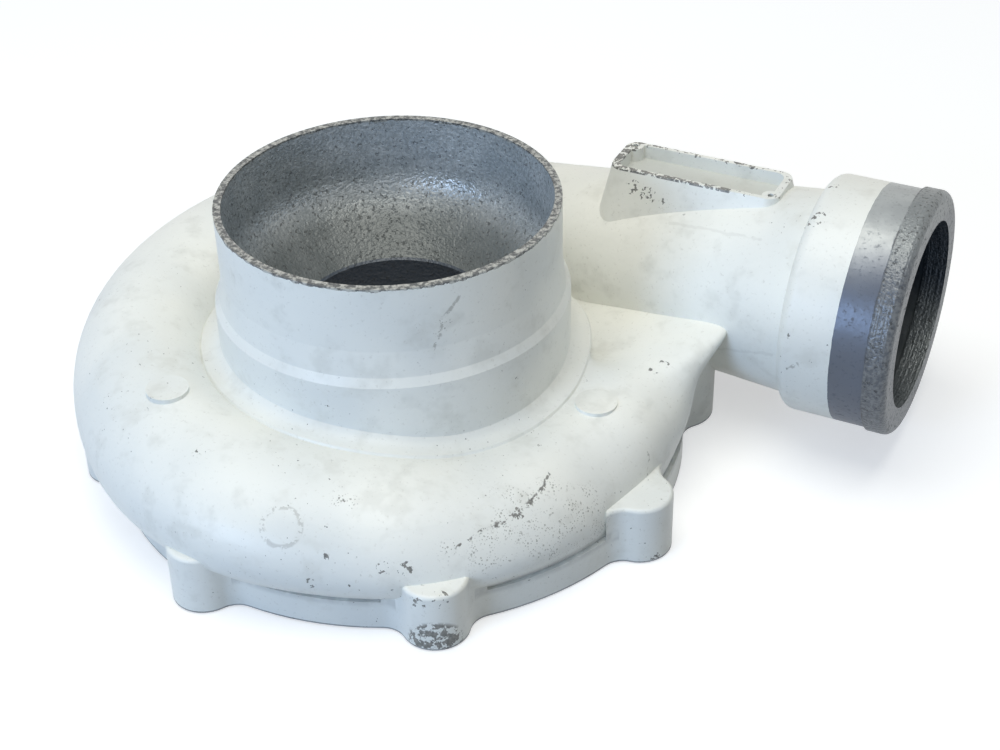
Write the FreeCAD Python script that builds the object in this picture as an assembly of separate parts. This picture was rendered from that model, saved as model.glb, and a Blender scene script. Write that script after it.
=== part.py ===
import FreeCAD, Part
import os
from math import sin, cos, pi, radians, sqrt, asin, atan2
from FreeCAD import Vector

os.makedirs("parts", exist_ok=True)

# Flange and turbine-side face, on z 0
flange_r = 111.0
flange_h = 12.0
register_r = 97.0
register_depth = 7.0
diffuser_face_z = 15.0
slot_r_in = 86.0
slot_r_out = 95.0
slot_top_z = 24.0

# Eight lugs centred just outside the flange's edge, with blind tapped holes from the flange face
lug_count = 8
lug_circle_step = 0.6
lug_r = 12.2
lug_h = 24.0
lug_first_deg = -100.6
lug_flank_r = 9.0
lug_edge_round = 1.5
lug_hole_r = 4.25
lug_hole_depth = 12.0

# The lug under the neck is wider and rises into it as a web
web_lug = 3
web_lug_r = 14.5
web_top_z = 40.0

# Inlet collar, upright on the Z axis
collar_top_z = 109.5
collar_r = 63.6
collar_band_z = 84.0
collar_wall = 2.8
collar_foot_r = 64.9
shoulder_z = 70.8
shoulder_r = 66.8
shoulder_chamfer = 3.2
straight_bore_z = 80.0
funnel_round = 16.0
inducer_r = 35.3
inducer_z = 60.4
shroud_z = 36.0
exducer_r = 54.0

# Scroll, its turn angle counted clockwise from +Y seen from above
scroll_line_r = 107.2
scroll_growth_r = 26.8
scroll_leave_deg = 165.0
scroll_leave_power = 2.2
scroll_low_top = 43.5
scroll_rise = 26.2
scroll_rise_deg = 130.0
scroll_start_deg = 12.0
scroll_start_drop = 7.0
scroll_round_r = 24.0
scroll_round_growth = 6.5
foot_ring_r = 74.0
foot_ring_step = 0.8
foot_fillet = 6.0
scroll_swell = 9.8
scroll_swell_deg = (75.0, 243.0)
scroll_foot_r = 109.0
scroll_foot_z = 24.0
scroll_foot_fade_deg = (193.0, 243.0)
saddle_side = 16.0
saddle_side_deg = (99.4, 82.5)
saddle_side_power = 0.9
saddle_beak = 29.5
saddle_beak_deg = (76.0, 63.2)
saddle_beak_power = 9.0
saddle_slope = 0.13
saddle_fill_deg = (118.0, 72.0)
passage_r = 24.4
passage_power = 0.7
passage_wall = 5.0
passage_floor_z = 16.0

# Outlet neck, pipe and bead, along +X
outlet_y = 84.2
outlet_z = 55.9
neck_r = 41.0
neck_y = 87.0
neck_z = 53.0
neck_end_x = 142.0
pipe_start_x = 138.0
pipe_step_round = 4.5
pipe_r = 46.5
groove_x = 171.9
bead_r = 47.5
outlet_end_x = 180.7
outlet_bore_r = 36.4
bead_round = 3.2

# Raised name plate seat on top of the neck, with two drive-screw holes
seat_x = 86.5
seat_y = 94.5
seat_len = 69.0
seat_wid = 23.0
seat_top_z = 92.0
seat_corner = 5.0
seat_skirt = 9.0
seat_side_wall = 1.9
seat_end_wall = 3.0
pocket_depth = 5.5
pocket_corner = 4.0
screw_inset = 3.4
screw_boss_r = 3.4
screw_hole_r = 1.2
screw_hole_depth = 6.0

# Round pads on the crest of the scroll: turn angle and radius of each
pads = [(214.0, 92.5), (92.5, 85.0)]
pad_r = 7.8
pad_rise = 0.7

def clamp01(v):
    return min(max(v, 0.0), 1.0)

def ease(v):
    v = clamp01(v)
    return v * v * (3 - 2 * v)

def out_r(phi):
    v = clamp01((phi - scroll_leave_deg) / (360 - scroll_leave_deg))
    return scroll_line_r + scroll_growth_r * (1 - (1 - v) ** scroll_leave_power)

def top_z(phi):
    v = clamp01((phi - scroll_rise_deg) / (360 - scroll_rise_deg))
    drop = scroll_start_drop * ease((75 - phi) / 60)
    return scroll_low_top + scroll_rise * sin(v * pi / 2) - drop

def round_r(phi):
    return scroll_round_r + scroll_round_growth * phi / 360

def grown(phi, span):
    # 0 before the first angle and 1 past the second, turning back towards the neck
    return ease((span[0] - phi) / (span[0] - span[1]))

def saddle(phi, s):
    # how far the section leans out towards the neck at the share s of its height
    side = saddle_side * grown(phi, saddle_side_deg) * s ** saddle_side_power
    return side + saddle_beak * grown(phi, saddle_beak_deg) * s ** saddle_beak_power

def swell(phi):
    # how far the outer wall swells past a round section
    v = clamp01((phi - scroll_swell_deg[0]) / (scroll_swell_deg[1] - scroll_swell_deg[0]))
    return scroll_swell * sin(pi * v) ** 2

def foot(phi, z, wall):
    # the lower wall curves from its own radius at the flange to the scroll's foot
    low = clamp01((scroll_foot_z - z) / (scroll_foot_z - flange_h))
    fade = ease((scroll_foot_fade_deg[1] - phi) / (scroll_foot_fade_deg[1] - scroll_foot_fade_deg[0]))
    return (scroll_foot_r - wall) * low * low * fade

def at(phi, r, z):
    a = radians(90 - phi)
    return Vector(r * cos(a), r * sin(a), z)

def polyline(points):
    return [Part.LineSegment(a, b).toShape() for a, b in zip(points, points[1:])]

def curve(points):
    c = Part.BSplineCurve()
    c.interpolate(points)
    return c.toShape()

def scroll_section(phi):
    a = round_r(phi)
    rm = out_r(phi) - a
    zm = top_z(phi) - a
    core_r = collar_r - collar_wall - 2
    low = asin((flange_h - 2.5 - zm) / a)
    wide = a + swell(phi)
    wall = rm + wide * cos(asin((flange_h - zm) / a))
    ring = sqrt(max(a * a - (foot_ring_r + 0.6 - rm) ** 2, 1))
    high = atan2(ring, foot_ring_r + 0.6 - rm)
    n = 12
    dome = []
    for i in range(n + 1):
        t = low + (high - low) * i / n
        z = zm + a * sin(t)
        share = clamp01((z - flange_h) / (top_z(phi) - flange_h))
        fade = 1.0 if t < pi / 2 else cos((t - pi / 2) / (high - pi / 2) * pi / 2) ** 2
        dr = saddle(phi, share) * fade
        r = rm + (wide if t < pi / 2 else a) * cos(t) + dr + foot(phi, z, wall)
        z += saddle_slope * dr
        if t > pi / 2:
            # the saddle fills the trough between its crest and the collar
            z += (dome[-1].z - z) * grown(phi, saddle_fill_deg)
        dome.append(at(phi, r, z))
    zr = dome[-1].z + foot_ring_step
    fillet = [at(phi, foot_ring_r, zr)]
    for i in range(1, 6):
        t = radians(76) * i / 5
        width = (foot_ring_r - shoulder_r + 0.8) / sin(radians(76))
        fillet.append(at(phi, foot_ring_r - width * sin(t), zr + foot_fillet * (1 - cos(t))))
    edges = [curve(dome)]
    edges += polyline([dome[-1], fillet[0]])
    edges.append(curve(fillet))
    edges += polyline([fillet[-1], at(phi, core_r, fillet[-1].z), at(phi, core_r, flange_h - 2.5), dome[0]])
    return Part.Wire(edges)

def scroll_body():
    count = 24
    span = 360 - scroll_start_deg
    sections = [scroll_section(scroll_start_deg + span * (i / count) ** 1.35) for i in range(count + 1)]
    return Part.makeLoft(sections, True, False)

def arc(a, m, b):
    return Part.Arc(a, m, b).toShape()

def turned(edges, place, axis):
    return Part.Face(Part.Wire(edges)).revolve(place, axis, 360)

def collar_blank():
    # the collar and the core under it, solid until the bores are cut
    edges = polyline([
        Vector(0, 0, flange_h - 5),
        Vector(shoulder_r, 0, flange_h - 5),
        Vector(shoulder_r, 0, shoulder_z),
        Vector(collar_foot_r, 0, shoulder_z + shoulder_chamfer),
        Vector(collar_r, 0, collar_band_z),
        Vector(collar_r, 0, collar_top_z),
        Vector(0, 0, collar_top_z),
        Vector(0, 0, flange_h - 5)])
    return turned(edges, Vector(0, 0, 0), Vector(0, 0, 1))

def lug_centre(i):
    a = radians(lug_first_deg + 360.0 * i / lug_count)
    r = flange_r + lug_circle_step
    return Vector(r * cos(a), r * sin(a), 0)

def lug_size(i):
    return web_lug_r if i == web_lug else lug_r

def lug_points(i):
    # where a round lug, its two concave flanks and the round flange touch each other
    c = lug_centre(i)
    d = c.Length
    u = c / d
    w = Vector(-u.y, u.x, 0)
    rf = flange_r + lug_flank_r
    rb = lug_size(i) + lug_flank_r
    along = (rf * rf - rb * rb + d * d) / (2 * d)
    across = sqrt(rf * rf - along * along)
    points = []
    for side in (-1, 1):
        f = u * along + w * (side * across)
        wall = f * (flange_r / rf)
        boss = f + (c - f) * (lug_flank_r / rb)
        m = (wall + boss) * 0.5 - f
        points.append((wall, f + m * (lug_flank_r / m.Length), boss))
    return points, u * (d + lug_size(i)), u

def lug_outline(i):
    (first, second), tip, u = lug_points(i)
    edges = [arc(first[0], first[1], first[2])]
    edges.append(arc(first[2], tip, second[2]))
    edges.append(arc(second[2], second[1], second[0]))
    return edges, first[0], second[0], u

def lug_blank(i):
    # the upright part of a lug, reaching inward through the scroll wall
    c = lug_centre(i)
    edges, start, end, u = lug_outline(i)
    edges += polyline([end, u * (flange_r - 14), start])
    face = Part.Face(Part.Wire(edges))
    if i == web_lug:
        return face.extrude(Vector(0, 0, web_top_z))
    lug = face.extrude(Vector(0, 0, lug_h))
    crest = [e for e in lug.Edges if e.BoundBox.ZMin > lug_h - 0.01
             and e.Curve.TypeId == "Part::GeomCircle" and e.Curve.Center.distanceToPoint(c) < lug_h + 1]
    return lug.makeFillet(lug_edge_round, crest)

def flange_blank():
    edges = []
    for i in range(lug_count):
        lug, start, end, u = lug_outline(i)
        half = radians(180.0 / lug_count)
        mid = Vector(u.x * cos(half) - u.y * sin(half), u.x * sin(half) + u.y * cos(half), 0) * flange_r
        following = lug_outline((i + 1) % lug_count)[1]
        edges += lug
        edges.append(arc(end, mid, following))
    return Part.Face(Part.Wire(edges)).extrude(Vector(0, 0, flange_h))

def neck_station(k):
    y0 = out_r(360) - round_r(360)
    z0 = top_z(360) - round_r(360)
    r0 = round_r(360) - 0.25
    return y0 + (neck_y - y0) * k, z0 + (neck_z - z0) * k, r0 + (neck_r - r0) * k

def circle_x(x, y, z, r):
    return Part.Wire(Part.makeCircle(r, Vector(x, y, z), Vector(1, 0, 0)))

def neck_blank():
    y0, z0, r0 = neck_station(0)
    return Part.makeLoft([circle_x(0, y0, z0, r0), circle_x(neck_end_x, neck_y, neck_z, neck_r)], True, True)

def pipe_blank():
    # the pipe with its rounded step up from the neck and the hose bead at its end
    def on(x, r):
        return Vector(x, outlet_y, outlet_z + r)
    step = pipe_step_round
    lip = bead_round
    cut = 1 - cos(pi / 4)
    edges = polyline([on(pipe_start_x, 0), on(pipe_start_x, pipe_r - step)])
    edges.append(arc(on(pipe_start_x, pipe_r - step),
                     on(pipe_start_x + step * cut, pipe_r - step * cut),
                     on(pipe_start_x + step, pipe_r)))
    edges += polyline([
        on(pipe_start_x + step, pipe_r),
        on(groove_x, pipe_r),
        on(groove_x, bead_r),
        on(outlet_end_x - lip, bead_r)])
    edges.append(arc(on(outlet_end_x - lip, bead_r),
                     on(outlet_end_x - lip * cut, bead_r - lip * cut),
                     on(outlet_end_x, bead_r - lip)))
    edges += polyline([on(outlet_end_x, bead_r - lip), on(outlet_end_x, 0), on(pipe_start_x, 0)])
    return turned(edges, on(0, 0), Vector(1, 0, 0))

def passage_at(phi):
    f = phi / 360.0
    r = passage_r * max(f, 0.02) ** passage_power
    return out_r(phi) - passage_wall - r, passage_floor_z + r, r

def passage():
    wires = []
    for phi in range(45, 361, 15):
        rc, zc, r = passage_at(phi)
        a = radians(90 - phi)
        wires.append(Part.Wire(Part.makeCircle(r, at(phi, rc, zc), Vector(-sin(a), cos(a), 0))))
    turn = Part.makeLoft(wires, True, False)
    rc, zc, r = passage_at(360)
    run = Part.makeLoft([
        circle_x(0, rc, zc, r),
        circle_x(pipe_start_x, neck_y, neck_z, neck_r - passage_wall),
        circle_x(groove_x, outlet_y, outlet_z, outlet_bore_r),
        circle_x(outlet_end_x + 2, outlet_y, outlet_z, outlet_bore_r)], True, True)
    return [turn, run]

def rounded_corner(a, b, c, r):
    # the two tangent points and the middle of an arc of radius r in the corner at b
    u = (a - b).normalize()
    v = (c - b).normalize()
    half = u.getAngle(v) / 2
    m = (u + v).normalize()
    centre = b + m * (r / sin(half))
    reach_b = r / sin(half) * cos(half)
    return b + u * reach_b, centre - m * r, b + v * reach_b

def inlet_bore():
    wall = collar_r - collar_wall
    top = Vector(wall, 0, collar_top_z + 1)
    bend = Vector(wall, 0, straight_bore_z)
    throat = Vector(inducer_r, 0, inducer_z)
    p, m, q = rounded_corner(top, bend, throat, funnel_round)
    wheel_in = Vector(inducer_r, 0, shroud_z)
    wheel_out = Vector(exducer_r, 0, diffuser_face_z)
    bulge = Vector(exducer_r - (exducer_r - inducer_r) * cos(pi / 4), 0,
                   shroud_z - (shroud_z - diffuser_face_z) * sin(pi / 4))
    edges = polyline([q, throat, wheel_in])
    edges.append(arc(wheel_in, bulge, wheel_out))
    edges += polyline([
        wheel_out,
        Vector(slot_r_in, 0, diffuser_face_z),
        Vector(slot_r_in, 0, slot_top_z),
        Vector(slot_r_out, 0, slot_top_z),
        Vector(slot_r_out, 0, register_depth),
        Vector(register_r, 0, register_depth),
        Vector(register_r, 0, -1),
        Vector(0, 0, -1),
        Vector(0, 0, collar_top_z + 1),
        top,
        p])
    edges.append(arc(p, m, q))
    return turned(edges, Vector(0, 0, 0), Vector(0, 0, 1))

def rounded_plate(length, width, corner, z):
    # the outline of a round-cornered plate about the middle of the seat
    edges = []
    x, y = length / 2, width / 2
    for k in range(4):
        turn = FreeCAD.Rotation(Vector(0, 0, 1), 180.0 * (k // 2))
        sx = 1 if k % 2 == 0 else -1
        middle = Vector(sx * (x - corner), y - corner, 0)
        start = middle + (Vector(corner, 0, 0) if sx > 0 else Vector(0, corner, 0))
        end = middle + (Vector(0, corner, 0) if sx > 0 else Vector(-corner, 0, 0))
        bulge = middle + Vector(sx * corner, corner, 0) * cos(pi / 4)
        edges.append([turn.multVec(v) for v in (start, bulge, end)])
    shift = Vector(seat_x, seat_y, z)
    wire = []
    for k, (start, bulge, end) in enumerate(edges):
        wire.append(arc(start + shift, bulge + shift, end + shift))
        wire += polyline([end + shift, edges[(k + 1) % 4][0] + shift])
    return Part.Wire(wire)

def seat_blank():
    # the sides splay out as they go down into the neck
    top = rounded_plate(seat_len, seat_wid, seat_corner, seat_top_z)
    foot = rounded_plate(seat_len + seat_skirt, seat_wid + 2 * seat_skirt, seat_corner + seat_skirt / 2, seat_top_z - 24)
    return Part.makeLoft([foot, top], True, True)

def seat_screws():
    places = []
    for side in (-1, 1):
        x = seat_x + side * (seat_len / 2 - screw_inset)
        y = seat_y - side * (seat_wid / 2 - screw_inset)
        places.append(Vector(x, y, seat_top_z))
    return places

def seat_cuts():
    outline = rounded_plate(seat_len - 2 * seat_end_wall, seat_wid - 2 * seat_side_wall,
                            pocket_corner, seat_top_z - pocket_depth)
    pocket = Part.Face(outline).extrude(Vector(0, 0, pocket_depth + 5))
    down = Vector(0, 0, -1)
    for place in seat_screws():
        pocket = pocket.cut(Part.makeCylinder(screw_boss_r, 30, place - down * 10, down))
    holes = [Part.makeCylinder(screw_hole_r, screw_hole_depth + 1, place - down, down) for place in seat_screws()]
    return [pocket] + holes

def pad_blank(phi, r):
    top = top_z(phi) + saddle_slope * saddle(phi, 1) + pad_rise
    return Part.makeCylinder(pad_r, 6, at(phi, r, top - 6))

def lug_hole(i):
    return Part.makeCylinder(lug_hole_r, lug_hole_depth + 1, lug_centre(i) - Vector(0, 0, 1))

def housing():
    body = collar_blank()
    for add in [scroll_body(), neck_blank(), pipe_blank(), flange_blank(), seat_blank()]:
        body = body.fuse(add)
    body = body.fuse([lug_blank(i) for i in range(lug_count)] + [pad_blank(phi, r) for phi, r in pads])
    body = body.cut(passage() + [inlet_bore()])
    body = body.cut(seat_cuts() + [lug_hole(i) for i in range(lug_count)])
    return body.Solids[0]

housing().exportStep("parts/compressor_housing.step")
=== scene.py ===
"""Looks of a painted cast compressor housing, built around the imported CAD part."""
import math

import bpy
from mathutils import Matrix, Vector


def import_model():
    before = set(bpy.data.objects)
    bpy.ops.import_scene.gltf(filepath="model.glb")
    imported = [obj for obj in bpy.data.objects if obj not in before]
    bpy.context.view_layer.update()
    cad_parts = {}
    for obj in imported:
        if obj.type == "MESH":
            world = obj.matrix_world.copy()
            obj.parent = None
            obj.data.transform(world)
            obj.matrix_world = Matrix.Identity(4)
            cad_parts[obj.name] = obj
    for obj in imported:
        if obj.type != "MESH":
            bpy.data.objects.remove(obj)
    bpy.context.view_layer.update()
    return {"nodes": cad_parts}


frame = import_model()
housing = frame["nodes"]["compressor_housing"]

MM = 0.001

# Sizes of the casting that the paint and wear follow, in metres
RIM_Z = 0.1095
COLLAR_WALL = 0.0028
COLLAR_R = 0.0636
WALL_FADE_Z = (0.070, 0.086)
THROAT_R = 0.0362
THROAT_TOP_Z = 0.0612
FLANGE_H = 0.012
LEDGE_R = (0.104, 0.1128)
OUTLET_Y = 0.0842
OUTLET_Z = 0.0559
OUTLET_BORE_R = 0.0364
PAINT_EDGE_X = 0.1589
GROOVE_X = 0.1719
SEAT_TOP_Z = 0.092
SEAT_MIN_R = 0.075
SEAT_END_X = 0.124
POCKET_DEPTH = (0.0062, 0.0050)
POCKET_Y = 0.0945
POCKET_HALF = 0.0105
REGISTER_R = 0.097
SLOT_TOP_Z = 0.024

# The air passage in the scroll, as the casting has it: sizes in metres, angles in turns
SCROLL_R = 0.1072
SCROLL_GROWTH = 0.0268
SCROLL_LEAVE = 165.0 / 360.0
LEAVE_POWER = 2.2
PASSAGE_R = 0.0244
PASSAGE_POWER = 0.7
PASSAGE_WALL = 0.005
PASSAGE_FLOOR = 0.016
PASSAGE_END_Y = SCROLL_R + SCROLL_GROWTH - PASSAGE_WALL - PASSAGE_R
PASSAGE_END_Z = PASSAGE_FLOOR + PASSAGE_R
NECK_END_X = 0.138
NECK_END_Y = 0.087
NECK_END_Z = 0.053
NECK_BORE_R = 0.036
SKIN = 0.002

# Marks in the paint, in millimetres: a crack, scratches, parting lines and groups of small chips
CRACK = [(84.2, -42.8, 40.8), (85.1, -50.6, 38.8), (83.6, -57.3, 37.8), (82.2, -63.3, 36.4),
         (77.6, -71.9, 35.6), (73.8, -77.6, 35.0), (69.2, -85.9, 33.2)]
CRACK_WIDTHS = (0.8, 0.9, 1.5, 1.5, 1.0, 0.9)
SCRATCHES = [[(42.2, -47.6, 83.2), (44.2, -45.5, 90.8), (45.9, -43.9, 96.4), (49.4, -39.8, 103.0)],
             [(107.4, -7.9, 32.6), (109.1, -11.5, 24.2)],
             [(134.5, 47.8, 42.5), (142.7, 38.2, 49.3), (147.1, 37.9, 53.0)]]
PARTING = [[(111.3, 53.2, 40.0), (129.4, 48.7, 46.0), (134.5, 47.8, 47.2)],
           [(81.8, 74.4, 77.7), (100.0, 71.5, 80.5), (120.5, 67.4, 83.3)]]
LINE_WIDTH = 0.9
CHIPPED = [((28.6, -93.1, 46.2), 3.0), ((56.3, -99.5, 29.9), 4.0), ((49.7, -102.9, 30.6), 3.5),
           ((26.7, -114.0, 24.3), 3.5), ((30.8, -109.5, 33.5), 2.5), ((-24.4, -97.8, 52.3), 3.0),
           ((70.0, -101.3, 22.6), 5.0), ((62.6, -104.2, 20.0), 5.0), ((119.2, -28.1, 1.6), 3.0),
           ((99.4, 27.6, 46.7), 3.0), ((97.1, 22.3, 45.8), 3.0), ((141.7, 84.8, 102.3), 3.5),
           ((141.1, 66.1, 98.4), 6.0), ((143.0, 38.5, 63.9), 1.8), ((63.5, 80.8, 86.0), 4.5),
           ((70.0, 80.2, 84.3), 5.0), ((77.0, 79.4, 82.3), 3.5), ((82.0, -64.0, 36.6), 3.5)]
PEPPERED = [((80.0, -64.0, 37.0), 14.0), ((91.0, -58.0, 30.0), 22.0), ((80.0, -80.0, 28.0), 13.0),
            ((100.0, -45.0, 26.0), 16.0), ((67.0, -88.0, 32.0), 6.0), ((30.0, -92.0, 46.0), 7.0),
            ((44.0, -44.0, 92.0), 6.0)]
RING_PLACE = (14.4, -109.1, 41.1)
RING_R = 0.0068
LUG_FOOT = (68.7, -103.5, 2.0)
LUG_FOOT_R = 0.0145

# Camera, fitted to the circles of the collar, flange and outlet
CAM_PLACE = (0.29393, -0.49690, 0.43568)
CAM_AZIMUTH = 26.71
CAM_ELEVATION = 35.26
CAM_ROLL = -1.38
CAM_LENS = 65.133
SENSOR = 36.0


class Nodes:
    """Short calls to build one material's node tree."""

    def __init__(self, name):
        self.mat = bpy.data.materials.new(name)
        self.mat.use_nodes = True
        self.tree = self.mat.node_tree
        self.tree.nodes.clear()

    def new(self, kind, **props):
        node = self.tree.nodes.new(kind)
        for key, value in props.items():
            setattr(node, key, value)
        return node

    def put(self, value, socket):
        if isinstance(value, bpy.types.NodeSocket):
            self.tree.links.new(value, socket)
        else:
            socket.default_value = value

    def math(self, operation, a, b=0.0, clamp=False):
        node = self.new("ShaderNodeMath", operation=operation, use_clamp=clamp)
        self.put(a, node.inputs[0])
        self.put(b, node.inputs[1])
        return node.outputs[0]

    def chain(self, operation, values):
        result = values[0]
        for value in values[1:]:
            result = self.math(operation, result, value)
        return result

    def most(self, *values):
        return self.chain("MAXIMUM", values)

    def all_of(self, *values):
        return self.chain("MULTIPLY", values)

    def total(self, *values):
        return self.chain("ADD", values)

    def times(self, a, b):
        return self.math("MULTIPLY", a, b)

    def minus(self, a, b):
        return self.math("SUBTRACT", a, b)

    def over(self, a, b):
        return self.math("GREATER_THAN", a, b)

    def under(self, a, b):
        return self.math("LESS_THAN", a, b)

    def length(self, a, b):
        return self.math("SQRT", self.total(self.times(a, a), self.times(b, b)))

    def ramp(self, value, low, painted_top_light):
        node = self.new("ShaderNodeMapRange", interpolation_type="SMOOTHSTEP")
        self.put(value, node.inputs["Value"])
        node.inputs["From Min"].default_value = low
        node.inputs["From Max"].default_value = painted_top_light
        return node.outputs["Result"]

    def noise(self, place, scale, detail=3.0, rough=0.5):
        node = self.new("ShaderNodeTexNoise")
        self.put(place, node.inputs["Vector"])
        node.inputs["Scale"].default_value = scale
        node.inputs["Detail"].default_value = detail
        node.inputs["Roughness"].default_value = rough
        return node.outputs

    def grey(self, place, scale, detail=3.0, rough=0.5):
        return self.noise(place, scale, detail, rough)["Fac"]

    def cells(self, place, scale):
        node = self.new("ShaderNodeTexVoronoi")
        self.put(place, node.inputs["Vector"])
        node.inputs["Scale"].default_value = scale
        return node.outputs["Distance"]

    def split(self, vector):
        node = self.new("ShaderNodeSeparateXYZ")
        self.put(vector, node.inputs[0])
        return node.outputs

    def vector(self, operation, a, b=None, scale=None):
        node = self.new("ShaderNodeVectorMath", operation=operation)
        self.put(a, node.inputs[0])
        if b is not None:
            self.put(b, node.inputs[1])
        if scale is not None:
            self.put(scale, node.inputs["Scale"])
        return node.outputs["Value" if operation in ("DISTANCE", "DOT_PRODUCT", "LENGTH") else "Vector"]

    def spot(self, place, centre, radius):
        away = self.vector("DISTANCE", place, centre)
        return self.ramp(away, radius, radius * 0.3)

    def line(self, place, a, b, width):
        along = [q - p for p, q in zip(a, b)]
        square = sum(v * v for v in along)
        offset = self.vector("SUBTRACT", place, a)
        share = self.math("DIVIDE", self.vector("DOT_PRODUCT", offset, along), square, clamp=True)
        foot = self.vector("SCALE", along, scale=share)
        return self.ramp(self.vector("DISTANCE", offset, foot), width, width * 0.4)

    def lines(self, place, points, widths):
        ends = zip(points, points[1:], widths)
        return [self.line(place, millimetres(a), millimetres(b), width * MM) for a, b, width in ends]

    def spots(self, place, marks):
        return self.most(*[self.spot(place, millimetres(centre), radius * MM) for centre, radius in marks])

    def mix(self, share, a, b):
        node = self.new("ShaderNodeMix", data_type="RGBA")
        self.put(share, node.inputs["Factor"])
        self.put(a, node.inputs["A"])
        self.put(b, node.inputs["B"])
        return next(s for s in node.outputs if s.type == "RGBA")

    def bump(self, height, strength, distance):
        node = self.new("ShaderNodeBump")
        node.inputs["Strength"].default_value = strength
        node.inputs["Distance"].default_value = distance
        self.put(height, node.inputs["Height"])
        return node.outputs["Normal"]


def srgb(r, g, b):
    def one(v):
        v /= 255
        return v / 12.92 if v <= 0.04045 else ((v + 0.055) / 1.055) ** 2.4
    return (one(r), one(g), one(b), 1.0)


def millimetres(point):
    return tuple(v * MM for v in point)


class Casting:
    """Where a point lies on the casting, the noises there, and which parts are bare metal."""

    def __init__(self, n):
        place = n.new("ShaderNodeNewGeometry")
        self.where = place.outputs["Position"]
        self.x, self.y, self.z = n.split(self.where)
        self.facing = n.split(place.outputs["True Normal"])
        self.radius = n.length(self.x, self.y)

        self.fine = n.grey(self.where, 800.0, 1.0, 0.6)
        self.mid = n.grey(self.where, 160.0, 2.0, 0.6)
        self.broad = n.grey(self.where, 26.0, 1.0, 0.5)
        self.uneven = n.minus(self.mid, 0.5)
        self.ragged = n.minus(n.grey(self.where, 420.0, 3.0, 0.7), 0.5)
        self.pits = n.ramp(n.grey(self.where, 640.0, 2.0, 0.7), 0.57, 0.67)
        self.grain = n.ramp(self.fine, 0.3, 0.7)
        self.stain = n.ramp(n.grey(self.where, 60.0, 3.0, 0.65), 0.35, 0.7)

        self.in_inlet = n.all_of(n.under(self.radius, COLLAR_R - COLLAR_WALL * 0.5), n.over(self.z, 0.015))
        self.wall = n.all_of(self.in_inlet, n.ramp(self.z, *WALL_FADE_Z))
        self.past_edge = n.over(n.total(self.x, n.times(self.uneven, 0.0005)), PAINT_EDGE_X)
        bead_start = n.total(self.x, n.times(self.uneven, 0.0012))
        self.on_bead = n.ramp(bead_start, GROOVE_X - 0.0006, GROOVE_X + 0.0004)
        self.inner = n.most(self.in_outlet(n), self.in_scroll(n), self.in_neck(n))
        level = n.total(self.z, n.total(n.times(self.ragged, 0.0022), n.times(self.uneven, 0.0016)))
        self.worn_rim = n.all_of(n.over(level, RIM_Z - 0.0008), n.under(self.radius, 0.07))
        recess = n.all_of(n.under(self.radius, REGISTER_R + SKIN), n.under(self.z, SLOT_TOP_Z + 0.001))
        self.back = n.most(n.under(self.z, 0.0006), recess)
        self.bare = n.most(self.in_inlet, self.past_edge, self.inner, self.worn_rim, self.back)

    def in_outlet(self, n):
        """1 on the wall of the outlet bore."""
        dy = n.minus(self.y, OUTLET_Y)
        dz = n.minus(self.z, OUTLET_Z)
        outward = n.total(n.times(dy, self.facing["Y"]), n.times(dz, self.facing["Z"]))
        near = n.under(n.length(dy, dz), OUTLET_BORE_R + 0.005)
        return n.all_of(near, n.under(outward, 0.0), n.over(self.x, 0.120))

    def in_scroll(self, n):
        """1 on the wall of the passage that winds through the scroll."""
        turn = n.math("FRACT", n.math("DIVIDE", n.math("ARCTAN2", self.x, self.y), 2 * math.pi))
        growth = n.math("DIVIDE", n.minus(turn, SCROLL_LEAVE), 1 - SCROLL_LEAVE, clamp=True)
        growth = n.minus(1.0, n.math("POWER", n.minus(1.0, growth), LEAVE_POWER))
        reach = n.total(SCROLL_R - PASSAGE_WALL, n.times(growth, SCROLL_GROWTH))
        bore = n.times(n.math("POWER", turn, PASSAGE_POWER), PASSAGE_R)
        across = n.minus(self.radius, n.minus(reach, bore))
        up = n.minus(self.z, n.total(bore, PASSAGE_FLOOR))
        return n.under(n.length(across, up), n.total(bore, SKIN))

    def in_neck(self, n):
        """1 on the wall of the duct from the end of the scroll to the outlet bore."""
        along = n.math("DIVIDE", self.x, NECK_END_X, clamp=True)
        dy = n.minus(self.y, n.total(PASSAGE_END_Y, n.times(along, NECK_END_Y - PASSAGE_END_Y)))
        dz = n.minus(self.z, n.total(PASSAGE_END_Z, n.times(along, NECK_END_Z - PASSAGE_END_Z)))
        bore = n.total(PASSAGE_R + SKIN, n.times(along, NECK_BORE_R - PASSAGE_R))
        near = n.under(n.length(dy, dz), bore)
        return n.all_of(near, n.over(self.x, -SKIN), n.under(self.x, NECK_END_X))


def inlet_metal(n, c):
    """Pitted grey inside the collar, with painted shade darkening the cone deep inside and painted light
    brightening the straight upper wall.
    """
    # painted light and shade: the straight upper wall is coloured light and the cone deep inside dark, as
    # light falls into the bore
    wall = n.mix(c.stain, srgb(188, 195, 199), srgb(208, 213, 215))
    funnel_painted_shade = n.mix(c.stain, srgb(90, 96, 96), srgb(108, 113, 113))
    color = n.mix(n.ramp(c.z, *WALL_FADE_Z), funnel_painted_shade, wall)
    return n.mix(n.times(c.grain, 0.4), color, srgb(98, 103, 104))


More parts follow.
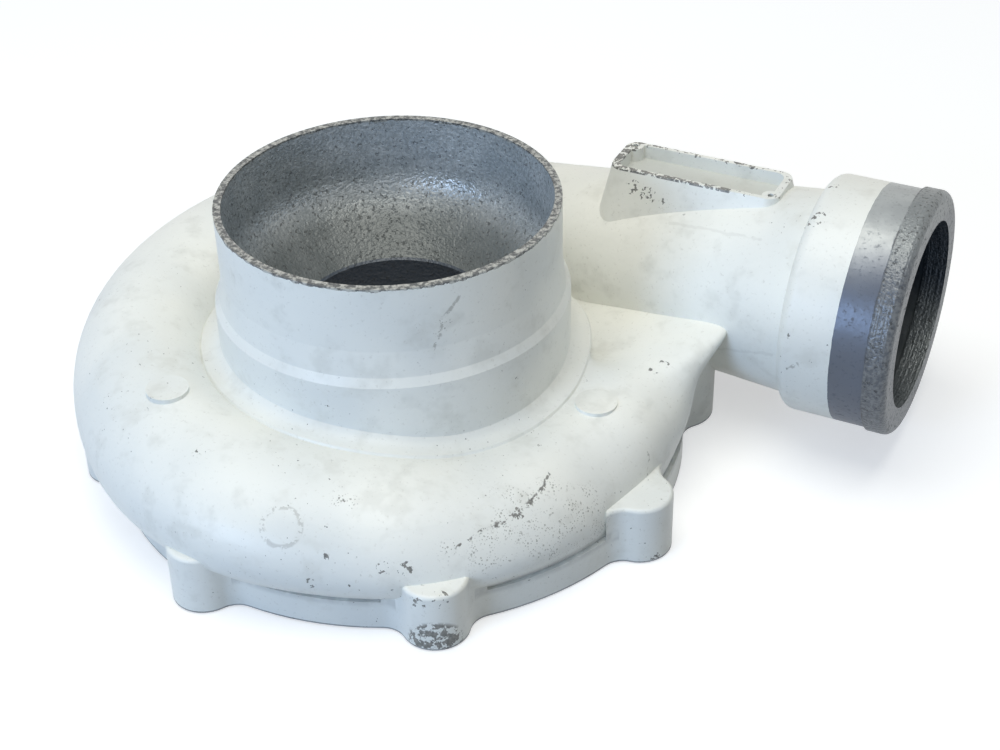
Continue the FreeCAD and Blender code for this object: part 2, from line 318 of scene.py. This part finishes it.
def outlet_metal(n, c):
    """The smooth band and the rougher bead past the paint edge, with a dark groove between them; both
    carry painted light, lighter towards the top and darker, bluish, lower down.
    """
    # painted light and shade: band and bead are coloured lighter towards the top and darker, bluish, lower
    # down
    level = n.total(c.z, n.times(n.minus(c.broad, 0.5), 0.02))
    painted_top_light = n.ramp(level, 0.083, 0.098)
    band = n.mix(painted_top_light, srgb(92, 99, 112), srgb(168, 172, 172))
    band = n.mix(n.times(c.stain, 0.25), band, srgb(88, 92, 98))
    bead = n.mix(painted_top_light, srgb(84, 89, 96), srgb(122, 127, 128))
    bead = n.mix(n.times(c.grain, 0.45), bead, srgb(140, 143, 144))
    groove = n.ramp(n.math("ABSOLUTE", n.minus(c.x, GROOVE_X)), 0.0007, 0.0002)
    groove = n.all_of(groove, n.ramp(c.mid, 0.4, 0.55), 0.7)
    return n.mix(groove, n.mix(c.on_bead, band, bead), srgb(70, 72, 76))


def metal_color(n, c):
    """Bare metal of each place, with pits all over it; painted shade on the ducts' upper wall and in the
    inducer bore, painted light on the ducts' floor.
    """
    metal = n.mix(c.past_edge, inlet_metal(n, c), outlet_metal(n, c))
    # painted light and shade inside the outlet bore and ducts: dark bluish on the upper wall, lighter on
    # the floor
    bore_floor_lit = n.mix(c.stain, srgb(110, 116, 118), srgb(140, 145, 146))
    bore = n.mix(n.ramp(c.z, 0.052, 0.032), srgb(52, 62, 74), bore_floor_lit)
    metal = n.mix(c.inner, metal, bore)
    metal = n.mix(c.back, metal, n.mix(c.stain, srgb(138, 142, 144), srgb(164, 167, 168)))
    # painted shade: the inducer bore below the inlet is coloured dark bluish
    throat_painted_shade = n.all_of(n.under(c.radius, THROAT_R), n.under(c.z, THROAT_TOP_Z))
    metal = n.mix(throat_painted_shade, metal, srgb(62, 71, 82))
    rim = n.mix(n.ramp(c.ragged, -0.08, 0.1), srgb(92, 94, 94), srgb(186, 186, 180))
    metal = n.mix(c.worn_rim, metal, rim)
    smooth_band = n.all_of(c.past_edge, n.minus(1.0, c.on_bead))
    pit_share = n.minus(0.62, n.times(smooth_band, 0.5))
    return n.mix(n.times(c.pits, pit_share), metal, srgb(58, 59, 58))


def wear_marks(n, c):
    """Marks in the paint as three masks: deep ones, light ones and the parting lines."""
    where = c.where
    sway = n.vector("SUBTRACT", n.noise(where, 260.0, 1.0)["Color"], (0.5, 0.5, 0.5))
    warped = n.vector("ADD", where, n.vector("SCALE", sway, scale=0.0022))
    broken = n.ramp(n.grey(where, 420.0, 2.0, 0.65), 0.47, 0.53)
    crack = n.all_of(n.most(*n.lines(warped, CRACK, CRACK_WIDTHS)), broken)
    scratches = []
    for points in SCRATCHES:
        scratches += n.lines(warped, points, [LINE_WIDTH] * len(points))
    scratches = n.all_of(n.most(*scratches), broken, 0.8)

    flakes = n.ramp(n.grey(where, 520.0, 2.0, 0.65), 0.56, 0.6)
    chips = n.all_of(flakes, n.over(n.spots(where, CHIPPED), 0.45))
    pepper = n.most(n.under(n.cells(where, 560.0), 0.22), n.under(n.cells(where, 1100.0), 0.26))
    pepper = n.all_of(pepper, n.ramp(c.mid, 0.42, 0.56), n.ramp(n.spots(where, PEPPERED), 0.05, 0.7))
    foot = n.ramp(n.spot(where, millimetres(LUG_FOOT), LUG_FOOT_R), 0.2, 0.5)
    foot = n.all_of(n.ramp(n.grey(where, 380.0, 3.0, 0.7), 0.46, 0.5), foot)
    ring = n.minus(n.vector("DISTANCE", where, millimetres(RING_PLACE)), RING_R)
    ring = n.all_of(n.ramp(n.math("ABSOLUTE", ring), 0.0012, 0.0004), broken, 0.6)
    parting = []
    for points in PARTING:
        parting += n.lines(warped, points, [LINE_WIDTH] * len(points))
    return n.most(crack, chips, foot), n.most(scratches, pepper, ring), n.most(*parting)


def seat_wear(n, c, over_seat):
    """Paint worn off the top edges of the name plate seat, most at its end and its front."""
    top = n.all_of(over_seat, n.over(c.z, SEAT_TOP_Z - 0.0008))
    end = n.ramp(n.total(c.x, n.times(c.uneven, 0.006)), 0.060, 0.055)
    front = n.all_of(n.ramp(c.y, 0.0862, 0.0850), n.ramp(c.x, 0.1035, 0.1000))
    rear = n.times(n.ramp(c.y, 0.1035, 0.1050), 0.5)
    share = n.most(end, front, rear)
    return n.all_of(top, n.over(n.total(c.ragged, n.times(share, 0.16)), 0.13))


def paint_color(n, c):
    """White paint: creamy with faint grime, dirt and painted shade along the flange's ledge, painted shade
    in the name plate seat's recess, marks.
    """
    paint = n.mix(n.ramp(c.broad, 0.3, 0.75), srgb(242, 242, 235), srgb(229, 231, 227))
    smudge = n.all_of(n.ramp(n.grey(c.where, 75.0, 3.0, 0.65), 0.5, 0.72), 0.4)
    paint = n.mix(smudge, paint, srgb(208, 208, 200))
    paint = n.mix(n.all_of(n.ramp(c.fine, 0.62, 0.8), 0.3), paint, srgb(190, 188, 178))
    # dirt and painted shade: the crease along the flange's ledge is darkened
    ledge = n.ramp(n.math("ABSOLUTE", n.minus(c.z, FLANGE_H + 0.0006)), 0.0035, 0.001)
    at_ledge = n.all_of(n.over(c.radius, LEDGE_R[0]), n.under(c.radius, LEDGE_R[1]))
    ledge_dirt_and_shade = n.all_of(ledge, n.ramp(c.mid, 0.2, 0.55), at_ledge, 0.45)
    paint = n.mix(ledge_dirt_and_shade, paint, srgb(168, 170, 168))
    over_seat = n.all_of(n.over(c.radius, SEAT_MIN_R), n.under(c.x, SEAT_END_X))
    depth_low, depth_high = POCKET_DEPTH
    at_pocket = n.all_of(n.over(c.z, SEAT_TOP_Z - depth_low), n.under(c.z, SEAT_TOP_Z - depth_high))
    across = n.math("ABSOLUTE", n.minus(c.y, POCKET_Y))
    # painted shade: the floor of the name plate seat's recess is darkened
    pocket_painted_shade = n.all_of(over_seat, at_pocket, n.over(c.facing["Z"], 0.9), n.under(across, POCKET_HALF))
    paint = n.mix(n.times(pocket_painted_shade, 0.55), paint, srgb(176, 180, 176))
    deep, light, parting = wear_marks(n, c)
    stray = n.ramp(n.grey(c.where, 480.0, 2.0, 0.75), 0.70, 0.73)
    stray = n.all_of(stray, n.ramp(c.broad, 0.5, 0.6))
    deep = n.most(deep, stray, seat_wear(n, c, over_seat))
    paint = n.mix(n.times(parting, 0.16), paint, srgb(170, 168, 160))
    paint = n.mix(n.times(light, 0.62), paint, srgb(134, 131, 122))
    return n.mix(n.times(deep, 0.88), paint, n.mix(c.grain, srgb(70, 70, 68), srgb(120, 118, 112)))


def relief(n, c):
    """The casting's skin under the paint, grain and pits in bare metal, turned marks on the bead."""
    along_pipe = n.grey(n.vector("MULTIPLY", c.where, (1.0, 0.03, 0.03)), 1500.0, 0.0)
    height = n.total(n.times(c.broad, 0.9), n.times(c.mid, 0.6), n.all_of(along_pipe, c.on_bead, 0.6))
    grains = n.minus(n.times(c.fine, 1.2), n.times(c.pits, 0.5))
    return n.total(height, n.times(grains, n.most(c.in_inlet, c.on_bead)))


def casting_material():
    n = Nodes("painted_casting_look")
    c = Casting(n)
    shader = n.new("ShaderNodeBsdfPrincipled")
    n.put(n.mix(c.bare, paint_color(n, c), metal_color(n, c)), shader.inputs["Base Color"])
    shine = n.total(0.15, n.times(c.past_edge, 0.25), n.times(c.wall, 0.2))
    n.put(n.times(c.bare, shine), shader.inputs["Metallic"])
    rough = n.total(0.42, n.times(c.bare, n.minus(n.times(c.pits, 0.25), 0.1)))
    rough = n.total(rough, n.times(n.times(c.fine, 0.12), c.bare))
    rough = n.minus(rough, n.times(c.wall, 0.08))
    n.put(rough, shader.inputs["Roughness"])
    n.put(n.bump(relief(n, c), 0.35, 0.0009), shader.inputs["Normal"])
    out = n.new("ShaderNodeOutputMaterial")
    n.put(shader.outputs[0], out.inputs["Surface"])
    return n.mat


def camera():
    az, el, roll = (math.radians(v) for v in (CAM_AZIMUTH, CAM_ELEVATION, CAM_ROLL))
    back = Vector((math.sin(az) * math.cos(el), -math.cos(az) * math.cos(el), math.sin(el)))
    right = (-back).cross(Vector((0, 0, 1))).normalized()
    up = right.cross(-back)
    turned_right = right * math.cos(roll) + up * math.sin(roll)
    turned_up = up * math.cos(roll) - right * math.sin(roll)
    data = bpy.data.cameras.new("camera")
    data.lens = CAM_LENS
    data.sensor_width = SENSOR
    data.clip_start = 0.01
    data.clip_end = 20
    cam = bpy.data.objects.new("camera", data)
    bpy.context.scene.collection.objects.link(cam)
    axes = Matrix((turned_right, turned_up, back)).transposed().to_4x4()
    cam.matrix_world = Matrix.Translation(CAM_PLACE) @ axes
    bpy.context.scene.camera = cam


def area_light(name, place, target, size, watts, color):
    data = bpy.data.lights.new(name, "AREA")
    data.shape = "SQUARE"
    data.size = size
    data.energy = watts
    data.color = color
    lamp = bpy.data.objects.new(name, data)
    lamp.location = place
    lamp.rotation_euler = (Vector(target) - Vector(place)).to_track_quat("-Z", "Y").to_euler()
    bpy.context.scene.collection.objects.link(lamp)


def background_rays(new, link):
    """1 for the rays that show the background: camera, glossy and transmission rays."""
    rays = new("ShaderNodeLightPath")
    share = rays.outputs["Is Camera Ray"]
    for name in ("Is Glossy Ray", "Is Transmission Ray"):
        top = new("ShaderNodeMath")
        top.operation = "MAXIMUM"
        link(share, top.inputs[0])
        link(rays.outputs[name], top.inputs[1])
        share = top.outputs[0]
    return share


def floor():
    """A white floor that keeps the object's shadow; it throws less light back than it shows."""
    bpy.ops.mesh.primitive_plane_add(size=6, location=(0, 0, -0.0005))
    plane = bpy.context.object
    plane.name = "floor"
    n = Nodes("floor_white")
    pale = n.new("ShaderNodeBsdfDiffuse")
    pale.inputs["Color"].default_value = (0.66, 0.67, 0.68, 1)
    glow = n.new("ShaderNodeEmission")
    glow.inputs["Color"].default_value = (1, 1, 1, 1)
    glow.inputs["Strength"].default_value = 0.52
    seen = n.new("ShaderNodeAddShader")
    n.put(pale.outputs[0], seen.inputs[0])
    n.put(glow.outputs[0], seen.inputs[1])
    white = n.new("ShaderNodeEmission")
    white.inputs["Color"].default_value = (1, 1, 1, 1)
    place = n.new("ShaderNodeNewGeometry")
    far = n.new("ShaderNodeMixShader")
    n.put(n.ramp(n.vector("LENGTH", place.outputs["Position"]), 0.45, 1.3), far.inputs[0])
    n.put(seen.outputs[0], far.inputs[1])
    n.put(white.outputs[0], far.inputs[2])
    thrown = n.new("ShaderNodeBsdfDiffuse")
    thrown.inputs["Color"].default_value = (0.42, 0.43, 0.44, 1)
    both = n.new("ShaderNodeMixShader")
    n.put(background_rays(n.new, n.tree.links.new), both.inputs[0])
    n.put(thrown.outputs[0], both.inputs[1])
    n.put(far.outputs[0], both.inputs[2])
    out = n.new("ShaderNodeOutputMaterial")
    n.put(both.outputs[0], out.inputs["Surface"])
    plane.data.materials.append(n.mat)


def world():
    """White for the rays that show the background, and pale blue air that lights the casting."""
    w = bpy.data.worlds.new("studio")
    bpy.context.scene.world = w
    w.use_nodes = True
    tree = w.node_tree
    tree.nodes.clear()
    air = tree.nodes.new("ShaderNodeBackground")
    air.inputs["Color"].default_value = (0.84, 0.92, 1.0, 1)
    air.inputs["Strength"].default_value = 0.30
    seen = tree.nodes.new("ShaderNodeBackground")
    seen.inputs["Color"].default_value = (1, 1, 1, 1)
    both = tree.nodes.new("ShaderNodeMixShader")
    out = tree.nodes.new("ShaderNodeOutputWorld")
    tree.links.new(background_rays(tree.nodes.new, tree.links.new), both.inputs[0])
    tree.links.new(air.outputs[0], both.inputs[1])
    tree.links.new(seen.outputs[0], both.inputs[2])
    tree.links.new(both.outputs[0], out.inputs["Surface"])


look = casting_material()
for material_slot in housing.material_slots:
    material_slot.material = look
camera()
floor()
world()
area_light("sky_panel", (0.02, -0.12, 1.30), (0.03, 0.0, 0.05), 0.9, 10.2, (1.0, 0.97, 0.88))
area_light("window", (-0.35, -1.35, 0.50), (0.03, 0.0, 0.06), 0.5, 9.5, (0.48, 0.68, 1.0))
bpy.context.scene.view_settings.view_transform = "Standard"
